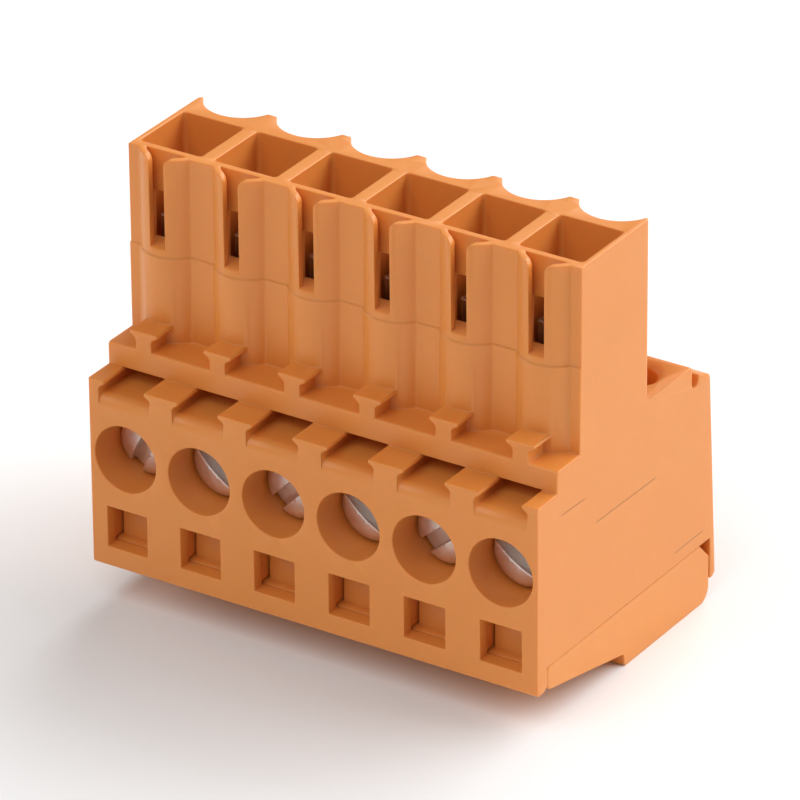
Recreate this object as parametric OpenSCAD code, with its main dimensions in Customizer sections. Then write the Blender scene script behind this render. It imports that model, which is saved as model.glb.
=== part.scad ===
// Pluggable terminal block: a one-piece moulded plug housing with its mating side up,
// a snap-in wire cover under it, and in each pole a slotted screw that draws a clamping
// yoke along a contact, whose fork is held together by a steel over-spring.
// +Z points to the mating side, the screws face -Y, and the poles run along X.
// The origin is on the base, in the middle of the overall width and depth.

/* [Poles] */
// Number of poles
poles = 6; // [2:1:8]
// Distance from one pole to the next
pitch = 5.08; // [5:0.01:7.62]
// Cut taken off each end of the housing so that plugs can stand side by side
end_trim = 0.09; // [0:0.01:0.25]

/* [Housing heights] */
// Underside of the front wall, above the base
foot_z = 2.55; // [1.5:0.05:4]
// Underside of the end walls, where the wire cover seats
seat_z = 4; // [3.4:0.05:4.6]
// Underside of the rear wall
toe_z = 1.3; // [0.6:0.05:2.4]
// Axis of the screws
screw_z = 9.88; // [9:0.02:11]
// Floor of the pockets between the lower posts
pocket_z = 13.65; // [13:0.05:15]
// Top of the lower front step
step1_z = 14.6; // [14.2:0.05:18]
// Top of the upper front step
step2_z = 16; // [15.4:0.05:20]
// Top of the rear ledge
ledge_z = 16.15; // [15.6:0.05:20]
// Height of the small outward step in the mating face
split_z = 21.4; // [19:0.1:24]
// Rim of the mating part
rim_z = 27.6; // [26.4:0.1:36]

/* [Housing depths] */
// Thickness of the front wall, in front of the wire cover
front_t = 1.05; // [0.8:0.05:1.3]
// Depth of the lower front step
step1_y = 2.08; // [1.6:0.02:3]
// Front wall of the mating part
mate_y = 4.6; // [4:0.05:5.5]
// Rear wall of the mating part
mate_back_y = 12; // [11.4:0.1:13]
// Rear edge of the ledge
ledge_y = 16.75; // [16:0.05:18]
// Outer face of the rear wall at its top
back_top_y = 18.8; // [18.2:0.05:21]
// Outer face of the rear wall at its foot
back_y = 19.6; // [18.9:0.05:22]
// Inner face of the rear wall, behind the wire cover
cover_back_y = 19; // [18.2:0.05:20]

/* [Mating part] */
// Wall between two cavities
divider_t = 0.88; // [0.6:0.02:1.2]
// Front of the cavities
cavity_y0 = 5.3; // [5:0.05:6]
// Back of the cavities
cavity_y1 = 9.75; // [9:0.05:10]
// Corner radius of the cavities
cavity_r = 0.25; // [0.1:0.05:0.6]
// Radius of the half-round ribs
rib_r = 2.1; // [1.8:0.05:2.4]
// How far a rib stands out of the mating face
rib_out = 0.9; // [0.5:0.05:1.2]
// Outward offset of the mating face below the small step
split_out = 0.1; // [0:0.02:0.2]
// Radius of the scallops in the rear wall
scallop_r = 2.4; // [2:0.05:2.5]
// Depth of the scallops
scallop_depth = 1.5; // [0.8:0.05:1.6]
// Radius of the rear corners
mate_corner_r = 0.4; // [0.1:0.05:0.8]

/* [Coding slots] */
// Width of the slot in the front of a rib
slot_w = 1; // [0.8:0.05:1.4]
// Wall of the rib round its slot
rib_t = 0.45; // [0.35:0.05:0.7]
// Web between a coding slot and the cavity behind it
web_t = 0.42; // [0.3:0.02:0.6]
// Distance from the rim to the floor of a slot
slot_drop = 5.75; // [5:0.05:6.5]
// Distance from the rim to the top of the window in the web
window_drop = 2.65; // [2:0.05:4]
// Width of that window
window_w = 2.1; // [1:0.1:2.4]
// Radius of the corners at the mouth of a slot
mouth_r = 0.45; // [0.2:0.05:0.6]

/* [Coding posts] */
// Head width of the lower posts, between two poles
low_head_w = 2.34; // [2:0.02:2.8]
// Stem width of the lower posts
low_stem_w = 1.56; // [1:0.02:1.9]
// Head width of the upper posts, on the poles
top_head_w = 1.9; // [1.6:0.02:2.4]
// Stem width of the upper posts
top_stem_w = 1.05; // [0.7:0.05:1.4]
// Height of the upper posts above their step
top_post_h = 1.2; // [0.8:0.05:1.6]
// Depth to which the pockets run in under the upper step
pocket_y = 4.1; // [3:0.05:4.2]
// Radius of the rounded front lip of the pockets
lip_r = 0.7; // [0.3:0.05:1]

/* [Rear ledge] */
// Width of the marker groove behind the ledge
groove_w = 0.7; // [0.4:0.05:1]
// Depth of the marker groove
groove_depth = 1.5; // [0.8:0.05:1.8]
// Radius of the test holes
test_r = 1.3; // [1:0.05:1.5]
// Radius of the countersink of the test holes
test_sink_r = 1.8; // [1.5:0.05:2]
// Depth of that countersink
test_sink_depth = 0.35; // [0.1:0.05:0.6]
// Distance from the front face to the test holes
test_y = 14.5; // [14:0.05:15]

/* [Screw] */
// Radius of the screw head
head_r = 1.95; // [1.6:0.01:2.2]
// Length of the screw head
head_l = 1.5; // [1.2:0.05:2]
// How deep the head sits in its hole
head_sink = 2; // [1:0.05:2.4]
// Height of the domed face of the head
head_dome = 0.28; // [0.1:0.02:0.5]
// Width of the driver slot
driver_slot_w = 0.92; // [0.6:0.02:1.2]
// Depth of the driver slot
driver_slot_depth = 0.95; // [0.6:0.05:1.2]
// Radius of the threaded shank
shank_r = 1.25; // [1:0.05:1.5]
// Clearance round the head and the shank in the housing
screw_gap = 0.16; // [0.08:0.01:0.25]
// Wall between the head and the clamp chamber
guide_l = 0.8; // [0.6:0.1:1.2]

/* [Clamp] */
// Front face of the yoke when the clamp is closed
yoke_front = 7.4; // [6.8:0.1:7.5]
// Travel of the yoke from open to clamped
yoke_travel = 1.8; // [1:0.1:2]
// Threaded front plate of the yoke
yoke_plate_t = 1.8; // [1.2:0.05:2.2]
// Side and back walls of the yoke
yoke_wall_t = 0.6; // [0.5:0.05:0.75]
// Height of the yoke
yoke_h = 5.6; // [4.6:0.1:5.8]
// Clearance of the yoke in its chamber
yoke_gap = 0.15; // [0.08:0.01:0.25]
// Clearance between the yoke's thread and the screw
thread_gap = 0.05; // [0.02:0.01:0.1]
// Free space for the wire when the clamp is open
wire_gap = 3.4; // [2.4:0.1:3.6]

/* [Contact] */
// Thickness of the contact's strip
strip_t = 0.8; // [0.5:0.05:1]
// Thickness of each leaf of the fork
leaf_t = 0.5; // [0.3:0.05:0.7]
// Width of the fork, front to back
leaf_w = 2.6; // [1.8:0.1:3]
// Gap between the leaves where they grip the pin
pin_gap = 0.9; // [0.6:0.05:1]
// Gap between the leaves at their root
root_gap = 1.1; // [0.9:0.05:1.2]
// Distance from the rim to the tips of the fork
fork_drop = 4.5; // [4.3:0.1:6]
// Sheet thickness of the over-spring
spring_t = 0.25; // [0.15:0.05:0.3]
// Clearance between the over-spring and the fork
spring_gap = 0.06; // [0.03:0.01:0.1]
// Wall round the contact where the housing guides it
guide_gap = 0.2; // [0.1:0.02:0.3]

/* [Wire cover] */
// Gap between the cover and the housing round it
cover_gap = 0.05; // [0.03:0.01:0.1]
// Radius of the wire entries
wire_r = 1.8; // [1.4:0.05:1.9]
// Radius of the funnel at the mouth of a wire entry
funnel_r = 2.2; // [1.9:0.05:2.3]
// Depth of that funnel
funnel_depth = 0.6; // [0.3:0.05:1]
// Front edge of the raised flat pad under the wire entries
pad_y = 9.5; // [8.5:0.1:10]
// Width of the latch windows in the front wall
latch_w = 2.76; // [2.2:0.02:3.2]
// Sill of the latch windows
latch_z0 = 3.86; // [3.6:0.02:4.4]
// Top of the latch windows
latch_z1 = 6.5; // [6:0.02:7]
// Wall in front of the latch tongues
latch_wall = 0.8; // [0.6:0.05:1]
// Floor left under the hollows in the cover
cover_floor_t = 1.1; // [0.9:0.05:1.4]
// Bar over each window that the nose of a tongue catches on
catch_h = 0.35; // [0.2:0.05:0.4]
// How far a nose hooks over its bar
catch_reach = 0.3; // [0.15:0.05:0.4]
// Distance from the front face to the face of a tongue
tongue_y = 1.58; // [1.4:0.02:1.8]
// Thickness of a tongue
tongue_t = 0.85; // [0.6:0.05:1]
// Room behind a tongue for it to spring back
tongue_flex = 0.5; // [0.3:0.05:0.6]

/* [Hidden] */
$fn = 48;
eps = 0.01;
body_w = poles * pitch - 2 * end_trim;
cavity_w = pitch - divider_t;
edge = 0.12;

// Screw, yoke and contact follow one another from the front face inwards.
head_y1 = head_sink + head_l;
bore_y1 = head_y1 + 0.3;
chamber_y0 = bore_y1 + guide_l;
yoke_y0 = yoke_front + yoke_travel;
strip_y0 = yoke_y0 + yoke_plate_t + 0.5;
strip_y1 = strip_y0 + strip_t;
yoke_back_y = strip_y1 + wire_gap;
yoke_y1 = yoke_back_y + yoke_wall_t;
chamber_y1 = yoke_y1 + 0.2;
chamber_w = cavity_w;
yoke_w = chamber_w - 2 * yoke_gap;
yoke_room_w = max(yoke_w - 2 * yoke_wall_t, 2 * (shank_r + thread_gap));
strip_w = yoke_room_w - 2 * 0.1;
chamber_z1 = screw_z + yoke_h / 2 + yoke_gap;
wire_y = strip_y1 + wire_gap / 2;
latch_room_w = latch_w + 0.24;
latch_room_y1 = tongue_y + tongue_t + tongue_flex;
core_wall = 0.5;
core_z1 = screw_z - head_r - screw_gap - core_wall;
nose_y = latch_wall - catch_reach;
nose_z = latch_z1 + catch_h + 0.05;
tongue_z1 = nose_z + 0.4;
tip_gap = 0.05;

// The contact runs up from the clamp, forward under the ledge, and up into its cavity.
duct_z1 = ledge_z - 0.75;
bridge_z1 = duct_z1 - 0.1;
bridge_z0 = bridge_z1 - strip_t;
fork_z1 = rim_z - fork_drop;
fork_y0 = (cavity_y0 + cavity_y1) / 2 - leaf_w / 2;
fork_y1 = fork_y0 + leaf_w;
sleeve_w = root_gap + 2 * leaf_t + 2 * spring_gap + 2 * spring_t;
guide_w = max(sleeve_w, strip_w) + 2 * guide_gap;
guide_z1 = split_z - 1.2;

window_z1 = rim_z - window_drop;
slot_z0 = rim_z - slot_drop;
rib_y = mate_y - rib_out + rib_r;
scallop_y = mate_back_y - scallop_depth + scallop_r;
cover_w = body_w - 2 * 0.04;

// Turn of each driver slot, as the screws were left
driver_turn = [61, -40, 45, -37, 40, -31, 22, -15];

function pole_x(i) = (i - (poles + 1) / 2) * pitch;
function edge_x(k) = (k - poles / 2) * pitch;
function arc(c, r, from, to, n = 8) =
    [for (k = [0:n]) c + r * [cos(from + (to - from) * k / n), sin(from + (to - from) * k / n)]];

// ---- helpers ----

// Moves a piece drawn from the front face into the middle of the depth.
module in_frame() translate([0, -back_y / 2, 0]) children();

// Extrudes a (y, z) outline along X, centred on x.
module along_x(w, x = 0)
    translate([x - w / 2, 0, 0]) rotate([90, 0, 90]) linear_extrude(w) children();

// Extrudes an (x, z) outline along Y, from y0 to y1.
module along_y(y0, y1)
    translate([0, y1, 0]) rotate([90, 0, 0]) linear_extrude(y1 - y0) children();

// Extrudes an (x, y) outline along Z, from z0 to z1.
module along_z(z0, z1)
    translate([0, 0, z0]) linear_extrude(z1 - z0) children();

// A block given by its width about x and its corners in y and z.
module block(x, w, y0, y1, z0, z1)
    translate([x - w / 2, y0, z0]) cube([w, y1 - y0, z1 - z0]);

// A round bar along Y.
module bar_y(x, z, r, y0, y1)
    translate([x, y1, z]) rotate([90, 0, 0]) cylinder(r = r, h = y1 - y0);

module rounded_plan(w, y0, y1, r) {
    translate([-w / 2 + r, y0]) square([w - 2 * r, y1 - y0]);
    translate([-w / 2, y0 + r]) square([w, y1 - y0 - 2 * r]);
    for (x = [-w / 2 + r, w / 2 - r])
        for (y = [y0 + r, y1 - r])
            translate([x, y]) circle(r);
}

// ---- housing ----

// Side outline of the lower block, from the foot of the front wall round to the steps.
lower_outline = concat(
    [[0, foot_z + edge], [edge, foot_z]],
    arc([front_t - 0.45, foot_z + 0.45], 0.45, -90, 0),
    [[front_t, seat_z], [cover_back_y, seat_z], [cover_back_y, toe_z + 0.1]],
    [[cover_back_y + 0.05, toe_z], [back_y - 0.2, toe_z + 0.05], [back_y, toe_z + 0.25]],
    arc([back_top_y - 0.4, ledge_z - 1.6], 0.4, 3, 68),
    [[ledge_y + groove_w + 0.12, ledge_z - 0.85], [ledge_y + groove_w, ledge_z - 0.97]],
    arc([ledge_y + groove_w / 2, ledge_z - groove_depth + groove_w / 2], groove_w / 2, 0, -180, 8),
    [[ledge_y, ledge_z - edge], [ledge_y - edge, ledge_z]],
    [[mate_y + 1, ledge_z], [mate_y + 1, step2_z], [step1_y + edge, step2_z]],
    [[step1_y, step2_z - edge], [step1_y, step1_z], [edge, step1_z], [0, step1_z - edge]]);

// Outline of the mating part seen from above, grown at the front by out.
module mating_plan(out) {
    difference() {
        union() {
            translate([-body_w / 2, mate_y - out])
                square([body_w, mate_back_y - mate_corner_r - mate_y + out]);
            translate([-body_w / 2 + mate_corner_r, mate_y])
                square([body_w - 2 * mate_corner_r, mate_back_y - mate_y]);
            for (s = [-1, 1])
                translate([s * (body_w / 2 - mate_corner_r), mate_back_y - mate_corner_r])
                    circle(mate_corner_r);
            for (i = [1:poles])
                translate([pole_x(i), rib_y]) circle(rib_r + out, $fn = 72);
        }
        for (i = [1:poles])
            translate([pole_x(i), scallop_y]) circle(scallop_r, $fn = 72);
    }
}

// Outline of a coding slot seen from the front, with rounded corners at its mouth.
slot_outline = concat(
    [[-slot_w / 2, slot_z0], [slot_w / 2, slot_z0]],
    arc([slot_w / 2 + mouth_r, rim_z - mouth_r], mouth_r, 180, 90, 6),
    [[slot_w / 2 + mouth_r, rim_z + 1], [-slot_w / 2 - mouth_r, rim_z + 1]],
    arc([-slot_w / 2 - mouth_r, rim_z - mouth_r], mouth_r, 90, 0, 6));

// The coding slot of one rib: its hollow behind the slot, open at the rim, and its window.
module coding_slot(x)
    translate([x, 0, 0]) {
        along_y(mate_y - rib_out - 1, mate_y) polygon(slot_outline);
        along_z(slot_z0, rim_z + 1)
            intersection() {
                translate([0, rib_y]) circle(rib_r - rib_t, $fn = 72);
                translate([-pitch / 2, 0]) square([pitch, cavity_y0 - web_t]);
            }
        block(0, window_w, cavity_y0 - web_t - eps, cavity_y0 + eps, slot_z0, window_z1);
    }

// Outline of a post with a flared, rounded head, standing on z0 with its top at z1.
function post_outline(stem, head, z0, z1) =
    let (reach = (head - stem) / 2, tip = 0.14, under = z1 - 2 * tip)
    concat(
        [[-stem / 2, z0], [stem / 2, z0]],
        arc([stem / 2 + reach, under - reach], reach, 180, 110, 6),
        arc([head / 2 - tip, z1 - tip], tip, -40, 90, 6),
        arc([-head / 2 + tip, z1 - tip], tip, 90, 220, 6),
        arc([-stem / 2 - reach, under - reach], reach, 70, 0, 6));

module lower_posts()
    intersection() {
        along_x(body_w) translate([-1, 0]) square([back_y, rim_z]);
        for (k = [0:poles])
            translate([edge_x(k), 0, 0]) along_y(0, step1_y + 0.2)
                polygon(post_outline(low_stem_w, low_head_w, pocket_z - 1.6, step1_z));
    }

module upper_posts()
    for (i = [1:poles])
        translate([pole_x(i), 0, 0]) along_y(step1_y, mate_y)
            polygon(post_outline(top_stem_w, top_head_w, step2_z - 0.3, step2_z + top_post_h));

// The pocket between two lower posts, with its rounded front lip.
module pocket(x)
    along_x(pitch - low_stem_w, x) polygon(concat(
        [[-1, pocket_z - lip_r], [0, pocket_z - lip_r]],
        arc([lip_r, pocket_z - lip_r], lip_r, 180, 90),
        [[pocket_y, pocket_z], [pocket_y, step1_z], [step1_y, step1_z]],
        [[step1_y, step1_z + eps], [-1, step1_z + eps]]));

// Everything that one pole takes out of the housing.
module pole_hollow(x) {
    // mating cavity and the narrower guide under it
    translate([x, 0, 0]) along_z(guide_z1, rim_z + 1)
        rounded_plan(cavity_w, cavity_y0, cavity_y1, cavity_r);
    block(x, guide_w, cavity_y0, cavity_y1, duct_z1 - eps, guide_z1 + eps);
    // duct that brings the contact forward from the clamp
    block(x, guide_w, cavity_y0, strip_y1 + 0.2, chamber_z1 - eps, duct_z1);
    // clamp chamber, open to the cover below, and the core under the screw
    block(x, chamber_w, chamber_y0, chamber_y1, seat_z - 1, chamber_z1);
    block(x, chamber_w, latch_room_y1 + core_wall, chamber_y0 + eps, seat_z - 1, core_z1);
    // screw hole and its guide
    bar_y(x, screw_z, head_r + screw_gap, -1, bore_y1);
    bar_y(x, screw_z, shank_r + screw_gap / 2, bore_y1 - eps, chamber_y0 + eps);
    // latch window, the room for its tongue, and the pocket over the catch bar
    block(x, latch_w, -1, latch_wall + eps, latch_z0, latch_z1);
    block(x, latch_room_w, latch_wall, latch_room_y1, latch_z0, tongue_z1 + 0.1);
    block(x, latch_room_w, nose_y - 0.1, latch_wall + eps, nose_z - 0.05, tongue_z1 + 0.1);
    // test hole through the ledge
    translate([x, test_y, chamber_z1 - eps]) cylinder(r = test_r, h = ledge_z - chamber_z1 + 1);
    translate([x, test_y, ledge_z - test_sink_depth])
        cylinder(r1 = test_r, r2 = test_sink_r, h = test_sink_depth + eps);
}

module housing()
    in_frame() color([0.87, 0.5, 0.24])
        difference() {
            union() {
                difference() {
                    along_x(body_w) polygon(lower_outline);
                    for (i = [1:poles]) pocket(pole_x(i));
                }
                along_z(step2_z - 0.6, rim_z) mating_plan(0);
                along_z(step2_z - 0.6, split_z) mating_plan(split_out);
                lower_posts();
                upper_posts();
            }
            for (i = [1:poles]) pole_hollow(pole_x(i));
            for (i = [1:poles]) coding_slot(pole_x(i));
        }

// ---- wire cover ----

cover_y0 = front_t + cover_gap;
cover_y1 = cover_back_y - cover_gap;
cover_z1 = seat_z - cover_gap;

// Height of the cover's sloping underside at depth y
function slope_z(y) = slope_z0 - (y - slope_y0) * (slope_z0 - slope_z1) / (pad_y - slope_y0);
slope_y0 = cover_y0 + 0.37;
slope_z0 = foot_z - 0.12;
slope_z1 = 0.82;

// Side outline of the cover: sloping nose, flat pad under the entries, rounded heel.
cover_outline = concat(
    [[cover_y0 + 0.3, cover_z1], [cover_y0, cover_z1 - 0.1]],
    arc([cover_y0 + 0.5, foot_z + 0.36], 0.5, 180, 255, 4),
    [[pad_y - 0.05, slope_z1], [pad_y + 0.03, 0.1], [pad_y + 0.13, 0]],
    arc([cover_y1 - 0.9, 0.9], 0.9, -90, 0),
    [[cover_y1, foot_z + 0.3], [cover_y1 - 1.05, cover_z1]]);

// A latch tongue, whose nose hooks forward over the catch bar above its window.
module tongue(x)
    along_x(latch_w, x) polygon([
        [tongue_y, cover_z1 - 0.5],
        [tongue_y, nose_z],
        [nose_y, nose_z],
        [nose_y, nose_z + 0.1],
        [tongue_y, tongue_z1],
        [tongue_y + tongue_t, tongue_z1],
        [tongue_y + tongue_t, cover_z1 - 0.5]]);

// A hollow in the upper side of the cover, over its sloping underside.
module hollow(x)
    along_x(chamber_w - 0.8, x) polygon([
        [latch_room_y1 + core_wall, cover_z1 + eps],
        [latch_room_y1 + core_wall, slope_z(latch_room_y1 + core_wall) + cover_floor_t],
        [pad_y - 0.5, slope_z(pad_y - 0.5) + cover_floor_t],
        [pad_y - 0.5, cover_z1 + eps]]);

module wire_cover()
    in_frame() color([0.89, 0.54, 0.28])
        difference() {
            union() {
                along_x(cover_w) polygon(cover_outline);
                for (i = [1:poles]) tongue(pole_x(i));
            }
            for (i = [1:poles]) {
                hollow(pole_x(i));
                translate([pole_x(i), wire_y, 0]) {
                    translate([0, 0, -eps]) cylinder(r = wire_r, h = seat_z + 1);
                    translate([0, 0, -eps]) cylinder(r1 = funnel_r, r2 = wire_r, h = funnel_depth);
                }
            }
        }

// ---- clamping screw ----

// Half outline of the screw, radius against distance from the domed face.
screw_outline = concat(
    [[0, 0]],
    [for (k = [1:6]) [(head_r - 0.15) * k / 6, head_dome * (1 - cos(60 * k / 6)) / (1 - cos(60))]],
    [[head_r, head_dome + 0.15], [head_r, head_l], [shank_r, head_l]],
    [[shank_r, strip_y0 - tip_gap - head_sink - 0.4]],
    [[shank_r - 0.4, strip_y0 - tip_gap - head_sink], [0, strip_y0 - tip_gap - head_sink]]);

module clamp_screw(i)
    in_frame() translate([pole_x(i), head_sink, screw_z]) color([0.72, 0.69, 0.66])
        difference() {
            rotate([-90, 0, 0]) rotate_extrude() polygon(screw_outline);
            rotate([0, -driver_turn[i - 1], 0])
                translate([-head_r - 1, -eps, -driver_slot_w / 2])
                    cube([2 * head_r + 2, driver_slot_depth, driver_slot_w]);
        }

// ---- clamping yoke ----

module clamping_yoke(i)
    in_frame() translate([pole_x(i), 0, 0]) color([0.66, 0.66, 0.68])
        difference() {
            along_z(screw_z - yoke_h / 2, screw_z + yoke_h / 2)
                difference() {
                    rounded_plan(yoke_w, yoke_y0, yoke_y1, 0.35);
                    translate([-yoke_room_w / 2, yoke_y0 + yoke_plate_t])
                        square([yoke_room_w, yoke_back_y - yoke_y0 - yoke_plate_t]);
                }
            bar_y(0, screw_z, shank_r + thread_gap, yoke_y0 - 1, yoke_y0 + yoke_plate_t + eps);
        }

// ---- contact ----

// Side outline of the strip: down into the clamp, bent forward, flat under the fork.
strip_outline = concat(
    [[strip_y0, cover_z1 + 0.05], [strip_y1, cover_z1 + 0.05]],
    arc([strip_y1 - 1.1, bridge_z1 - 1.1], 1.1, 0, 90),
    [[fork_y0, bridge_z1], [fork_y0, bridge_z0]],
    arc([strip_y0 - 0.3, bridge_z0 - 0.3], 0.3, 90, 0, 4));

// Front outline of one leaf, which bulges inwards to grip the pin.
grip_z = fork_z1 - 1.3;
leaf_outline = [
    [root_gap / 2, bridge_z1 - 0.2],
    [root_gap / 2 + leaf_t, bridge_z1 - 0.2],
    [root_gap / 2 + leaf_t, grip_z],
    [root_gap / 2 + leaf_t, fork_z1],
    [root_gap / 2 + leaf_t * 0.4, fork_z1],
    [pin_gap / 2, grip_z + 0.4],
    [pin_gap / 2, grip_z - 0.4],
    [root_gap / 2, grip_z - 1.6]];

module contact(i)
    in_frame() translate([pole_x(i), 0, 0]) color([0.8, 0.76, 0.62]) {
        along_x(strip_w) polygon(strip_outline);
        for (s = [0, 1])
            mirror([s, 0, 0]) along_y(fork_y0, fork_y1) polygon(leaf_outline);
    }

// ---- over-spring ----

module contact_spring(i)
    in_frame() translate([pole_x(i), 0, 0]) color([0.55, 0.56, 0.58])
        difference() {
            along_z(bridge_z1 + 0.05, fork_z1 - 0.3)
                difference() {
                    rounded_plan(sleeve_w, fork_y0 - spring_gap - spring_t,
                        fork_y1 + spring_gap + spring_t, 0.3);
                    translate([-sleeve_w / 2 + spring_t, fork_y0 - spring_gap])
                        square([sleeve_w - 2 * spring_t, leaf_w + 2 * spring_gap]);
                }
            // seam down the back, and a relief in each side
            block(0, 0.2, fork_y1, fork_y1 + 1, 0, rim_z);
            block(0, sleeve_w + 1, fork_y0 + 0.4, fork_y1 - 0.4, bridge_z1 + 1.2, grip_z - 1.8);
        }

housing();
wire_cover();
for (i = [1:poles]) {
    clamp_screw(i);
    clamping_yoke(i);
    contact(i);
    contact_spring(i);
}
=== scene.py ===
"""Looks of a six-pole pluggable terminal block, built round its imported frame.

Each moulding and pressing is a copy of its CAD solid with the sharp edges rounded. The clamping
screws get a real helical thread. Every finish is made of nodes, and the plastic's carries the
witness lines of the right-hand end. All sizes are in metres, in the frame of the CAD model: +X
runs along the poles, the screws face -Y, and +Z points to the mating side.
"""

import logging
import math
from collections.abc import Iterable, Mapping
from dataclasses import dataclass, field
from enum import Enum
from typing import Any

import bmesh
import bpy
from mathutils import Matrix, Vector


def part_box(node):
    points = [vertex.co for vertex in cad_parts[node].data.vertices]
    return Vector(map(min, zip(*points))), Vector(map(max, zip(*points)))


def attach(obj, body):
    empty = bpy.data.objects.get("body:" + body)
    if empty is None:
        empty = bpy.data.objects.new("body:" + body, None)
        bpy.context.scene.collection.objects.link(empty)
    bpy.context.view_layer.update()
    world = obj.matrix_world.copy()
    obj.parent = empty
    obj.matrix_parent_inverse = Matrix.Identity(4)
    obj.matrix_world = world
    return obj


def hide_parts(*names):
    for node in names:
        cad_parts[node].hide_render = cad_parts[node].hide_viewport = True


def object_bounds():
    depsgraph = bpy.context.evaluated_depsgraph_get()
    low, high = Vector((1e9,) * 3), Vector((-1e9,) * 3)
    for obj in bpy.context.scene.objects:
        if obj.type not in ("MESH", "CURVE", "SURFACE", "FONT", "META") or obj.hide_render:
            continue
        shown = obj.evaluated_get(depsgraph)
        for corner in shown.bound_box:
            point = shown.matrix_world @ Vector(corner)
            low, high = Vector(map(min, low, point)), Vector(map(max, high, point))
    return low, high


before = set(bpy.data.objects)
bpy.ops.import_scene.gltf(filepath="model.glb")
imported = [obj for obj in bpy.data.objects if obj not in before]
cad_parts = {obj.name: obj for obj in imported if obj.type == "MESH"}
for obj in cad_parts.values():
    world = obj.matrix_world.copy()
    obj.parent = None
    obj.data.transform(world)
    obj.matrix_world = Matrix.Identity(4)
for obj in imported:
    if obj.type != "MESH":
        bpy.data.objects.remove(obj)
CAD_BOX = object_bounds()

LOG = logging.getLogger("terminal_block")
MM = 0.001
POLES = 6
PITCH = 5.08 * MM
ROOT = "root"
CREASE = math.radians(38)
FLAT_FACE_WEIGHT = 60

Colour = tuple[float, float, float]
Point = tuple[float, float, float]


# ---- node graphs ----

class Socket:
    """An output socket whose operators add Math nodes to its tree."""

    def __init__(self, graph: "NodeGraph", link: bpy.types.NodeSocket) -> None:
        """Wraps one output socket of a graph."""
        self.graph = graph
        self.link = link

    def _math(self, operation: str, first: Any, second: Any = 0.0) -> "Socket":
        """Adds a Math node on two values or links."""
        return self.graph.node("ShaderNodeMath", {"operation": operation}, {0: first, 1: second})

    def __add__(self, other: Any) -> "Socket":
        """Sum."""
        return self._math("ADD", self, other)

    __radd__ = __add__

    def __sub__(self, other: Any) -> "Socket":
        """Difference."""
        return self._math("SUBTRACT", self, other)

    def __rsub__(self, other: Any) -> "Socket":
        """Difference from a number."""
        return self._math("SUBTRACT", other, self)

    def __mul__(self, other: Any) -> "Socket":
        """Product."""
        return self._math("MULTIPLY", self, other)

    __rmul__ = __mul__

    def __truediv__(self, other: Any) -> "Socket":
        """Quotient."""
        return self._math("DIVIDE", self, other)

    def __pow__(self, other: Any) -> "Socket":
        """Power."""
        return self._math("POWER", self, other)

    def sine(self) -> "Socket":
        """Sine of the value, in radians."""
        return self._math("SINE", self)

    def fraction(self) -> "Socket":
        """Fractional part of the value."""
        return self._math("FRACT", self)

    def held(self) -> "Socket":
        """The value, kept between 0 and 1."""
        return self._math("MINIMUM", self._math("MAXIMUM", self, 0.0), 1.0)

    def size(self) -> "Socket":
        """The value without its sign."""
        return self._math("ABSOLUTE", self)

    def other(self, name: str) -> "Socket":
        """Another output of the same node, by name."""
        return Socket(self.graph, self.link.node.outputs[name])


class NodeGraph:
    """Adds nodes to one shader or geometry tree."""

    def __init__(self, tree: bpy.types.NodeTree) -> None:
        """Starts from an empty tree."""
        self.tree = tree
        tree.nodes.clear()

    def node(
        self,
        kind: str,
        settings: Mapping[str, Any] | None = None,
        sockets: Mapping[str | int, Any] | None = None,
    ) -> Socket:
        """Adds one node of any kind.

        Args:
            kind: The node's type name.
            settings: Its properties, which are set first; "stops" are a ramp's.
            sockets: A value or a link for each input, by name or number.

        Returns:
            The node's first shown output, or for an output node its first input, wrapped.
        """
        made = self.tree.nodes.new(kind)
        for name, value in (settings or {}).items():
            if name == "stops":
                self._set_stops(made.color_ramp, value)
            else:
                setattr(made, name, value)
        for name, value in (sockets or {}).items():
            self._feed(made.inputs[name], value)
        shown = [s for s in made.outputs if s.enabled]
        return Socket(self, shown[0]) if shown else Socket(self, made.inputs[0])

    def _feed(self, target: bpy.types.NodeSocket, value: Any) -> None:
        """Links a wrapped socket to an input, or sets the input's own value."""
        if isinstance(value, Socket):
            self.tree.links.new(value.link, target)
        elif isinstance(value, (list, tuple)) and isinstance(value[0], Socket):
            for link in value:
                self.tree.links.new(link.link, target)
        else:
            target.default_value = value

    @staticmethod
    def _set_stops(ramp: bpy.types.ColorRamp, stops: Iterable[tuple[float, Colour]]) -> None:
        """Replaces a ramp's stops by (place, colour) pairs."""
        pairs = list(stops)
        while len(ramp.elements) < len(pairs):
            ramp.elements.new(1.0)
        for element, (place, colour) in zip(ramp.elements, pairs):
            element.position = place
            element.color = (*colour, 1.0)


# ---- finishes ----

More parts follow.
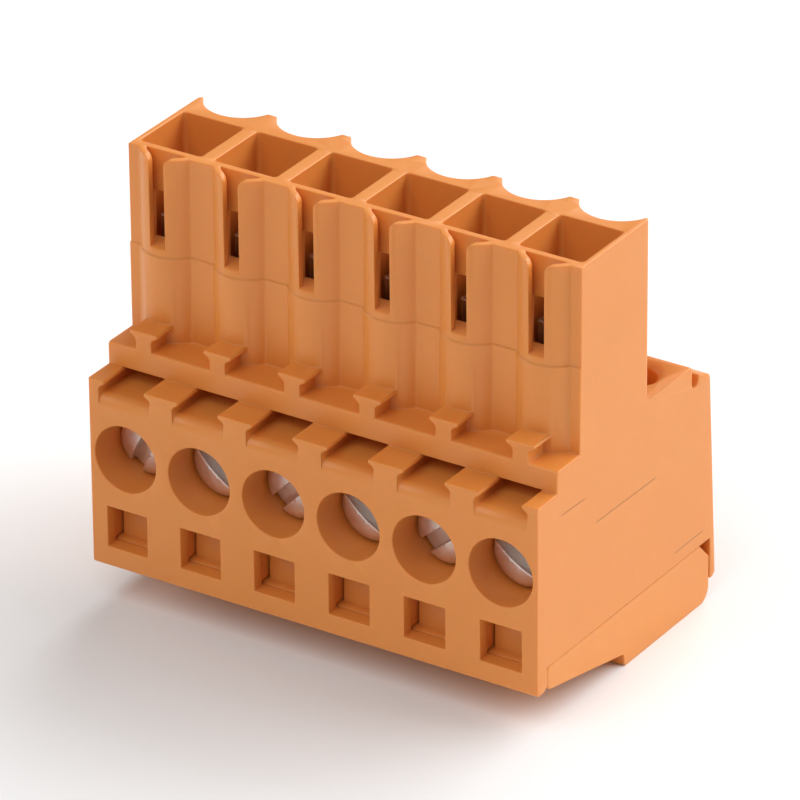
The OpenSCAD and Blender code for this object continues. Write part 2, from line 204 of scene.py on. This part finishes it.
@dataclass(frozen=True)
class Finish:
    """A surface finish that is made once, as a node material."""

    name: str
    slot: str
    colour: Colour

    def material(self) -> bpy.types.Material:
        """Returns the finish's material, and makes it at the first call."""
        found = bpy.data.materials.get(self.name)
        if found:
            return found
        made = bpy.data.materials.new(self.name)
        made.use_nodes = True
        made.diffuse_color = (*self.colour, 1.0)
        graph = NodeGraph(made.node_tree)
        surface = self.dress(graph)
        graph.node("ShaderNodeOutputMaterial", {}, {"Surface": surface})
        return made

    def dress(self, graph: NodeGraph) -> Socket:
        """Builds the shader and returns its output."""
        raise NotImplementedError

    @staticmethod
    def noise(graph: NodeGraph, place: Socket, size: float, detail: float = 2.0) -> Socket:
        """Noise from 0 to 1 whose patches are about size metres across."""
        return graph.node(
            "ShaderNodeTexNoise", {"noise_dimensions": "3D"},
            {"Vector": place, "Scale": 1.0 / size, "Detail": detail},
        )

    @staticmethod
    def place(graph: NodeGraph) -> Socket:
        """The point on the surface, in the frame of the CAD model."""
        return graph.node("ShaderNodeTexCoord").other("Object")

    @staticmethod
    def tint(graph: NodeGraph, amount: Socket, low: Colour, high: Colour) -> Socket:
        """Mixes two colours by an amount from 0 to 1."""
        return graph.node(
            "ShaderNodeMix", {"data_type": "RGBA"},
            {0: amount, 6: (*low, 1.0), 7: (*high, 1.0)},
        )

    @staticmethod
    def toward(graph: NodeGraph, amount: Socket, under: Socket, over: Colour) -> Socket:
        """Mixes a linked colour towards a plain one by an amount from 0 to 1."""
        return graph.node(
            "ShaderNodeMix", {"data_type": "RGBA"}, {0: amount, 6: under, 7: (*over, 1.0)}
        )

    @staticmethod
    def bump(graph: NodeGraph, height: Socket, depth: float, under: Socket | None = None) -> Socket:
        """A Bump node whose height of 1 stands for depth metres."""
        sockets: dict[str | int, Any] = {"Height": height, "Distance": depth, "Strength": 1.0}
        if under is not None:
            sockets["Normal"] = under
        return graph.node("ShaderNodeBump", {}, sockets)


@dataclass(frozen=True)
class WitnessLine:
    """A fine line that a slide of the mould left on the right-hand end."""

    start: tuple[float, float]
    end: tuple[float, float]
    width: float = 0.06 * MM
    fade: float = 0.3 * MM
    skin: float = 0.06 * MM

    def mask(self, graph: NodeGraph, place: Socket) -> Socket:
        """1 on the line and 0 away from it.

        Args:
            graph: The material's tree.
            place: The point on the surface.

        Returns:
            The line's strength there.
        """
        parts = graph.node("ShaderNodeSeparateXYZ", {}, {"Vector": place})
        x, y, z = (parts.other(name) for name in "XYZ")
        (y0, z0), (y1, z1) = self.start, self.end
        level = (y - y0) * ((z1 - z0) / (y1 - y0)) + z0
        across = (1.0 - (z - level).size() / self.width).held()
        along = ((y - y0) / self.fade).held() * ((y1 - y) / self.fade).held()
        on_end = ((x - (CAD_BOX[1].x - self.skin)) / (0.5 * self.skin)).held()
        return across * along * on_end


WITNESS_LINES = (
    WitnessLine((-3.7 * MM, 10.9 * MM), (3.1 * MM, 10.8 * MM)),
    WitnessLine((-7.4 * MM, 13.05 * MM), (-4.7 * MM, 12.98 * MM)),
    WitnessLine((4.95 * MM, 4.87 * MM), (8.4 * MM, 4.87 * MM)),
)


@dataclass(frozen=True)
class MouldedPlastic(Finish):
    """Satin moulded plastic that lets a little light through its thin walls."""

    pale: Colour = (0.9, 0.5, 0.2)
    roughness: float = 0.4
    glow: float = 0.3
    glow_reach: Colour = (1.0, 0.3, 0.05)
    glow_depth: float = 0.6 * MM
    cloud_size: float = 5.0 * MM
    grain_size: float = 0.11 * MM
    grain_depth: float = 0.0016 * MM
    ripple_size: float = 2.6 * MM
    ripple_depth: float = 0.012 * MM
    line_colour: Colour = (0.5, 0.17, 0.02)
    line_depth: float = 0.04 * MM

    def dress(self, graph: NodeGraph) -> Socket:
        """Clouded pigment, uneven gloss, a fine grain and slow sink ripples."""
        place = self.place(graph)
        cloud = self.noise(graph, place, self.cloud_size, 3.0)
        grain = self.noise(graph, place, self.grain_size, 3.0)
        ripple = self.noise(graph, place, self.ripple_size, 1.0)
        wear = self.noise(graph, place, self.ripple_size / 4, 4.0)
        slow = self.bump(graph, ripple, self.ripple_depth)
        lines = [line.mask(graph, place) for line in WITNESS_LINES]
        marks = lines[0] + lines[1] + lines[2]
        cut = self.bump(graph, 1.0 - marks, self.line_depth, slow)
        fine = self.bump(graph, grain, self.grain_depth, cut)
        pigment = self.tint(graph, cloud, self.colour, self.pale)
        return graph.node(
            "ShaderNodeBsdfPrincipled", {"subsurface_method": "RANDOM_WALK"},
            {
                "Base Color": self.toward(graph, marks, pigment, self.line_colour),
                "Roughness": self.roughness - 0.06 + 0.12 * wear,
                "Subsurface Weight": self.glow,
                "Subsurface Radius": self.glow_reach,
                "Subsurface Scale": self.glow_depth,
                "IOR": 1.5,
                "Normal": fine,
            },
        )


@dataclass(frozen=True)
class TurnedSteel(Finish):
    """Dull plated steel with the faint rings of a lathe tool on each screw's face."""

    dark: Colour = (0.72, 0.68, 0.65)
    roughness: float = 0.42
    axis_z: float = 9.88 * MM
    ring_gap: float = 0.07 * MM
    ring_depth: float = 0.0012 * MM
    blotch_size: float = 0.5 * MM

    def dress(self, graph: NodeGraph) -> Socket:
        """Rings round every screw's axis, blotched plating and a fine tooth."""
        place = self.place(graph)
        parts = graph.node("ShaderNodeSeparateXYZ", {}, {"Vector": place})
        across = ((parts / PITCH + float(POLES)).fraction() - 0.5) * PITCH
        up = parts.other("Z") - self.axis_z
        radius = (across ** 2.0 + up ** 2.0) ** 0.5
        rings = (radius * (2 * math.pi / self.ring_gap)).sine()
        blotch = self.noise(graph, place, self.blotch_size, 4.0)
        tooth = self.noise(graph, place, self.blotch_size / 8, 2.0)
        turned = self.bump(graph, rings, self.ring_depth)
        return graph.node(
            "ShaderNodeBsdfPrincipled", {},
            {
                "Base Color": self.tint(graph, blotch, self.dark, self.colour),
                "Metallic": 1.0,
                "Roughness": self.roughness - 0.08 + 0.2 * blotch,
                "Normal": self.bump(graph, tooth, self.ring_depth, turned),
            },
        )


@dataclass(frozen=True)
class PressedMetal(Finish):
    """Plated sheet with rolling lines along Z and a cloudy bloom."""

    dark: Colour = (0.4, 0.4, 0.4)
    roughness: float = 0.34
    line_size: float = 0.08 * MM
    line_stretch: float = 0.06
    line_depth: float = 0.0012 * MM
    bloom_size: float = 0.8 * MM

    def dress(self, graph: NodeGraph) -> Socket:
        """Long fine lines in the bump, and bloom in the colour and the gloss."""
        place = self.place(graph)
        drawn = graph.node(
            "ShaderNodeMapping", {}, {"Vector": place, "Scale": (1.0, 1.0, self.line_stretch)}
        )
        lines = self.noise(graph, drawn, self.line_size, 2.0)
        bloom = self.noise(graph, place, self.bloom_size, 4.0)
        return graph.node(
            "ShaderNodeBsdfPrincipled", {},
            {
                "Base Color": self.tint(graph, bloom, self.dark, self.colour),
                "Metallic": 1.0,
                "Roughness": self.roughness - 0.08 + 0.16 * bloom,
                "Normal": self.bump(graph, lines, self.line_depth),
            },
        )


HOUSING_PLASTIC = MouldedPlastic(
    "housing_orange", "housing_plastic", (0.72, 0.25, 0.045), pale=(0.77, 0.28, 0.06)
)
COVER_PLASTIC = MouldedPlastic(
    "cover_orange", "cover_plastic", (0.74, 0.26, 0.05), pale=(0.79, 0.3, 0.065)
)
SCREW_STEEL = TurnedSteel("screw_plating", "screw_steel", (0.93, 0.9, 0.87))
YOKE_STEEL = PressedMetal("yoke_zinc", "yoke_steel", (0.6, 0.61, 0.63))
CONTACT_TIN = PressedMetal(
    "contact_tin", "contact_metal", (0.74, 0.7, 0.6), dark=(0.55, 0.5, 0.4), roughness=0.28
)
SPRING_STEEL = PressedMetal(
    "spring_steel_bare", "spring_steel", (0.5, 0.5, 0.5), dark=(0.3, 0.29, 0.28)
)


# ---- meshes ----

class Corner(Enum):
    """How far the sharp edges of a kind of piece are rounded."""

    MOULDED = 0.07 * MM
    PRESSED = 0.06 * MM
    TURNED = 0.05 * MM
    SHEET = 0.035 * MM


@dataclass(frozen=True)
class Rounding:
    """Turns a CAD node's loose triangles into one closed mesh with rounded edges."""

    radius: float
    segments: int = 2
    sharp_from: float = math.radians(43)
    flat_within: float = math.radians(0.5)
    merge_within: float = 0.002 * MM

    def mesh(self, node: str) -> bmesh.types.BMesh:
        """Returns the rounded copy of a CAD node's mesh."""
        work = bmesh.new()
        work.from_mesh(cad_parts[node].data)
        bmesh.ops.remove_doubles(work, verts=work.verts, dist=self.merge_within)
        bmesh.ops.dissolve_degenerate(work, dist=self.merge_within / 2, edges=work.edges)
        bmesh.ops.dissolve_limit(
            work, angle_limit=self.flat_within, verts=work.verts, edges=work.edges,
            use_dissolve_boundaries=False,
        )
        bmesh.ops.triangulate(
            work, faces=work.faces, quad_method="BEAUTY", ngon_method="BEAUTY"
        )
        sharp = [
            edge for edge in work.edges
            if edge.is_manifold and edge.calc_face_angle(0.0) > self.sharp_from
        ]
        bmesh.ops.bevel(
            work, geom=sharp, offset=self.radius, offset_type="OFFSET", segments=self.segments,
            profile=0.5, affect="EDGES", clamp_overlap=False,
            miter_outer="SHARP", miter_inner="SHARP",
        )
        low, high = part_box(node)
        for vert in work.verts:
            vert.co = Vector(min(max(v, a), b) for v, a, b in zip(vert.co, low, high))
        return work


def link_piece(name: str, work: bmesh.types.BMesh, finish: Finish) -> bpy.types.Object:
    """Makes an object of a finished bmesh, smooth over its rounded edges.

    Args:
        name: The piece's name.
        work: Its mesh, in the frame of the CAD model; it is freed.
        finish: Its finish.

    Returns:
        The new object, linked to the scene.
    """
    mesh = bpy.data.meshes.new(name)
    work.to_mesh(mesh)
    work.free()
    mesh.materials.append(finish.material())
    mesh.shade_smooth()
    mesh.set_sharp_from_angle(angle=CREASE)
    piece = bpy.data.objects.new(name, mesh)
    bpy.context.scene.collection.objects.link(piece)
    return piece


def weigh_normals(piece: bpy.types.Object) -> None:
    """Keeps flat faces flat beside their rounded edges, as plain mesh data."""
    modifier = piece.modifiers.new("normals", "WEIGHTED_NORMAL")
    modifier.keep_sharp = True
    modifier.weight = FLAT_FACE_WEIGHT
    bake_modifiers(piece)


def bake_modifiers(piece: bpy.types.Object) -> None:
    """Replaces a piece's mesh by what its modifiers make of it, and removes them."""
    shape = piece.evaluated_get(bpy.context.evaluated_depsgraph_get())
    finished = bpy.data.meshes.new_from_object(shape)
    finished.name = piece.name
    piece.modifiers.clear()
    piece.data = finished


def settle(piece: bpy.types.Object, body: str, node: str | None = None) -> None:
    """Hangs a finished piece on the body that it rides on, and hides the CAD node that it stands for.
    """
    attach(piece, body)
    if node:
        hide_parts(node)
    LOG.info("%s: %d faces, rides on %s", piece.name, len(piece.data.polygons), body)


# ---- pieces ----

@dataclass
class RoundedPiece:
    """A piece that keeps its CAD shape and gets rounded edges and a finish."""

    node: str
    piece: str
    body: str
    finish: Finish
    corner: Corner

    def build(self) -> bpy.types.Object:
        """Builds the piece in place of its CAD node."""
        made = link_piece(self.piece, Rounding(self.corner.value).mesh(self.node), self.finish)
        weigh_normals(made)
        settle(made, self.body, self.node)
        return made


@dataclass
class ThreadTree:
    """A Geometry Nodes tree that winds a right-hand thread up the Z axis."""

    name: str = "thread"
    steps_per_turn: int = 28
    identifiers: dict[str, str] = field(default_factory=dict)

    def group(self) -> bpy.types.NodeTree:
        """Makes the tree at the first call, and returns it."""
        found = bpy.data.node_groups.get(self.name)
        if found:
            self._note(found)
            return found
        tree = bpy.data.node_groups.new(self.name, "GeometryNodeTree")
        face = tree.interface
        face.new_socket("Geometry", in_out="INPUT", socket_type="NodeSocketGeometry")
        for name in ("Root Radius", "Depth", "Lead", "Turns"):
            face.new_socket(name, in_out="INPUT", socket_type="NodeSocketFloat")
        face.new_socket("Plating", in_out="INPUT", socket_type="NodeSocketMaterial")
        face.new_socket("Geometry", in_out="OUTPUT", socket_type="NodeSocketGeometry")
        self._note(tree)
        self._fill(NodeGraph(tree))
        return tree

    def _note(self, tree: bpy.types.NodeTree) -> None:
        """Notes the identifier of each named input."""
        for item in tree.interface.items_tree:
            if item.in_out == "INPUT":
                self.identifiers[item.name] = item.identifier

    def _fill(self, graph: NodeGraph) -> None:
        """Sweeps a three-cornered profile along a spiral and joins it to the input."""
        inputs = graph.node("NodeGroupInput")
        root, depth = inputs.other("Root Radius"), inputs.other("Depth")
        turns = inputs.other("Turns")
        spiral = graph.node("GeometryNodeCurveSpiral", {}, {
            "Resolution": self.steps_per_turn, "Rotations": turns,
            "Start Radius": root, "End Radius": root,
            "Height": turns * inputs.other("Lead"),
        })
        upright = graph.node("GeometryNodeSetCurveNormal", {"mode": "Z_UP"}, {"Curve": spiral})
        profile = graph.node(
            "GeometryNodeCurvePrimitiveCircle", {"mode": "RADIUS"}, {"Resolution": 3, "Radius": depth}
        )
        ridge = graph.node("GeometryNodeCurveToMesh", {}, {
            "Curve": upright, "Profile Curve": profile, "Fill Caps": True,
        })
        joined = graph.node(
            "GeometryNodeJoinGeometry", {}, {"Geometry": [inputs.other("Geometry"), ridge]}
        )
        real = graph.node("GeometryNodeRealizeInstances", {}, {"Geometry": joined})
        plated = graph.node("GeometryNodeSetMaterial", {}, {
            "Geometry": real, "Material": inputs.other("Plating"),
        })
        graph.node("NodeGroupOutput", {}, {0: plated})


@dataclass
class ClampScrew:
    """A slotted clamping screw with a cut thread."""

    pole: int
    lead: float = 0.45 * MM
    crest_radius: float = 1.25 * MM
    thread_depth: float = 0.24 * MM
    thread_start: float = 0.5 * MM
    head_from: float = 1.2
    shank_to: float = 1.05
    root_margin: float = 0.01 * MM
    tree: ThreadTree = field(default_factory=ThreadTree)

    def build(self) -> bpy.types.Object:
        """Builds the head and core from the CAD node, and winds the thread round them."""
        node = f"clamp_screw_{self.pole}"
        low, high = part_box(node)
        axis = (low + high) / 2
        head_back = self._head_back(node, axis, low.y)
        work = Rounding(Corner.TURNED.value).mesh(node)
        self._thin_shank(work, axis, head_back)
        to_axis = Matrix.Translation((axis.x, head_back, axis.z)) @ Matrix.Rotation(
            -math.pi / 2, 4, "X"
        )
        bmesh.ops.transform(work, matrix=to_axis.inverted(), verts=work.verts)
        made = link_piece(f"screw_{self.pole}_slotted", work, SCREW_STEEL)
        self._wind(made, high.y - head_back)
        made.data.transform(to_axis)
        weigh_normals(made)
        settle(made, f"screw_{self.pole}", node)
        return made

    def _head_back(self, node: str, axis: Vector, front: float) -> float:
        """Finds the depth at which the head ends and the shank starts."""
        places = (
            v.co.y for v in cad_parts[node].data.vertices
            if math.hypot(v.co.x - axis.x, v.co.z - axis.z) > self.head_from * self.crest_radius
        )
        return max(places, default=front)

    def _thin_shank(self, work: bmesh.types.BMesh, axis: Vector, head_back: float) -> None:
        """Draws the shank in to the root of the thread."""
        keep = (self.crest_radius - self.thread_depth) / self.crest_radius
        for vert in work.verts:
            out = Vector((vert.co.x - axis.x, 0.0, vert.co.z - axis.z))
            on_shank = out.length < self.shank_to * self.crest_radius
            if vert.co.y > head_back - self.root_margin and on_shank:
                vert.co -= out * (1.0 - keep)

    def _wind(self, piece: bpy.types.Object, length: float) -> None:
        """Adds the thread by Geometry Nodes, and makes the result a plain mesh."""
        modifier = piece.modifiers.new("thread", "NODES")
        modifier.node_group = self.tree.group()
        values = {
            "Root Radius": self.crest_radius - self.thread_depth,
            "Depth": self.thread_depth,
            "Lead": self.lead,
            "Turns": (length - 2 * self.thread_start) / self.lead,
            "Plating": SCREW_STEEL.material(),
        }
        for name, value in values.items():
            modifier[self.tree.identifiers[name]] = value
        bake_modifiers(piece)


@dataclass
class Pole:
    """What one pole holds: its screw, yoke, contact and over-spring."""

    number: int

    def build(self) -> None:
        """Builds the pole's four pieces."""
        n = self.number
        ClampScrew(n).build()
        for piece in (
            RoundedPiece(f"clamping_yoke_{n}", f"yoke_{n}_pressed", f"yoke_{n}",
                         YOKE_STEEL, Corner.PRESSED),
            RoundedPiece(f"contact_{n}", f"contact_{n}_plated", ROOT, CONTACT_TIN, Corner.SHEET),
            RoundedPiece(f"contact_spring_{n}", f"spring_{n}_folded", ROOT,
                         SPRING_STEEL, Corner.SHEET),
        ):
            piece.build()


# ---- studio ----

@dataclass(frozen=True)
class SoftBox:
    """A square area light that looks at a point."""

    name: str
    place: Point
    target: Point
    size: float
    power: float
    colour: Colour = (1.0, 1.0, 1.0)

    def build(self) -> None:
        """Adds the light."""
        data = bpy.data.lights.new(self.name, "AREA")
        data.shape = "SQUARE"
        data.size = self.size
        data.energy = self.power
        data.color = self.colour
        lamp = bpy.data.objects.new(self.name, data)
        lamp.location = self.place
        aim = Vector(self.place) - Vector(self.target)
        lamp.rotation_euler = aim.to_track_quat("Z", "Y").to_euler()
        bpy.context.scene.collection.objects.link(lamp)


@dataclass(frozen=True)
class Studio:
    """A white tent: pale floor, even white surround, soft boxes and the camera."""

    azimuth: float = math.radians(32.8804)
    elevation: float = math.radians(27.6344)
    roll: float = math.radians(-0.5009)
    distance: float = 439.87 * MM
    lens: float = 346.41
    aim: Point = (0.0, -1.8 * MM, 14.55 * MM)
    slide_right: float = 0.80966 * MM
    slide_up: float = -0.72426 * MM
    surround: float = 0.2
    floor_size: float = 3.0

    def build(self) -> None:
        """Builds the floor, the surround, the lights and the camera."""
        self._floor()
        self._surround()
        for box in (
            SoftBox("front_high_box", (0.0, -0.58, 0.7), (0, 0, 0.014), 0.7, 3.4),
            SoftBox("left_low_box", (-0.85, -0.23, 0.2), (0, 0, 0.014), 0.7, 2.2),
            SoftBox("right_rear_box", (0.6, 0.42, 0.53), (0, 0, 0.014), 0.7, 6.2),
            SoftBox("rear_box", (0.0, 0.69, 0.59), (0, 0, 0.014), 0.7, 5.0),
        ):
            box.build()
        self._camera()

    def _floor(self) -> None:
        """Adds the pale floor."""
        work = bmesh.new()
        bmesh.ops.create_grid(work, x_segments=4, y_segments=4, size=self.floor_size / 2)
        floor = link_piece("floor", work, PaleFloor("pale_floor", "", (0.9, 0.9, 0.9)))

    def _surround(self) -> None:
        """Lights everything evenly from all round."""
        world = bpy.data.worlds.new("surround")
        world.use_nodes = True
        graph = NodeGraph(world.node_tree)
        glow = graph.node(
            "ShaderNodeBackground", {}, {"Color": (1, 1, 1, 1), "Strength": self.surround}
        )
        graph.node("ShaderNodeOutputWorld", {}, {"Surface": glow})
        bpy.context.scene.world = world
        bpy.context.scene.view_settings.view_transform = "Standard"

    def _camera(self) -> None:
        """Adds the camera, a long lens that looks down on the screw side from the right."""
        a, e, r = self.azimuth, self.elevation, self.roll
        right = Vector((math.cos(a), math.sin(a), 0.0))
        up = Vector((-math.sin(a) * math.sin(e), math.cos(a) * math.sin(e), math.cos(e)))
        back = Vector((math.sin(a) * math.cos(e), -math.cos(a) * math.cos(e), math.sin(e)))
        side = math.cos(r) * right + math.sin(r) * up
        over = -math.sin(r) * right + math.cos(r) * up
        data = bpy.data.cameras.new("camera")
        data.lens = self.lens
        data.clip_start = 0.01
        camera = bpy.data.objects.new("camera", data)
        turn = Matrix((side, over, back)).transposed().to_4x4()
        place = Vector(self.aim) + back * self.distance
        place += side * self.slide_right + over * self.slide_up
        camera.matrix_world = Matrix.Translation(place) @ turn
        bpy.context.scene.collection.objects.link(camera)
        bpy.context.scene.camera = camera


@dataclass(frozen=True)
class PaleFloor(Finish):
    """Matt white paper with a very faint tooth."""

    tooth_size: float = 1.5 * MM

    def dress(self, graph: NodeGraph) -> Socket:
        """A nearly even white with a soft tooth."""
        tooth = self.noise(graph, self.place(graph), self.tooth_size, 2.0)
        return graph.node("ShaderNodeBsdfPrincipled", {}, {
            "Base Color": (*self.colour, 1.0),
            "Roughness": 0.85 + 0.1 * tooth,
            "Specular IOR Level": 0.2,
        })


def main() -> None:
    """Builds every piece, then the studio round them."""
    logging.basicConfig(level=logging.INFO, format="%(name)s: %(message)s")
    RoundedPiece("housing", "housing_moulding", ROOT, HOUSING_PLASTIC, Corner.MOULDED).build()
    RoundedPiece("wire_cover", "wire_cover_moulding", ROOT, COVER_PLASTIC, Corner.MOULDED).build()
    for number in range(1, POLES + 1):
        Pole(number).build()
    Studio().build()


if __name__ == "__main__":
    main()
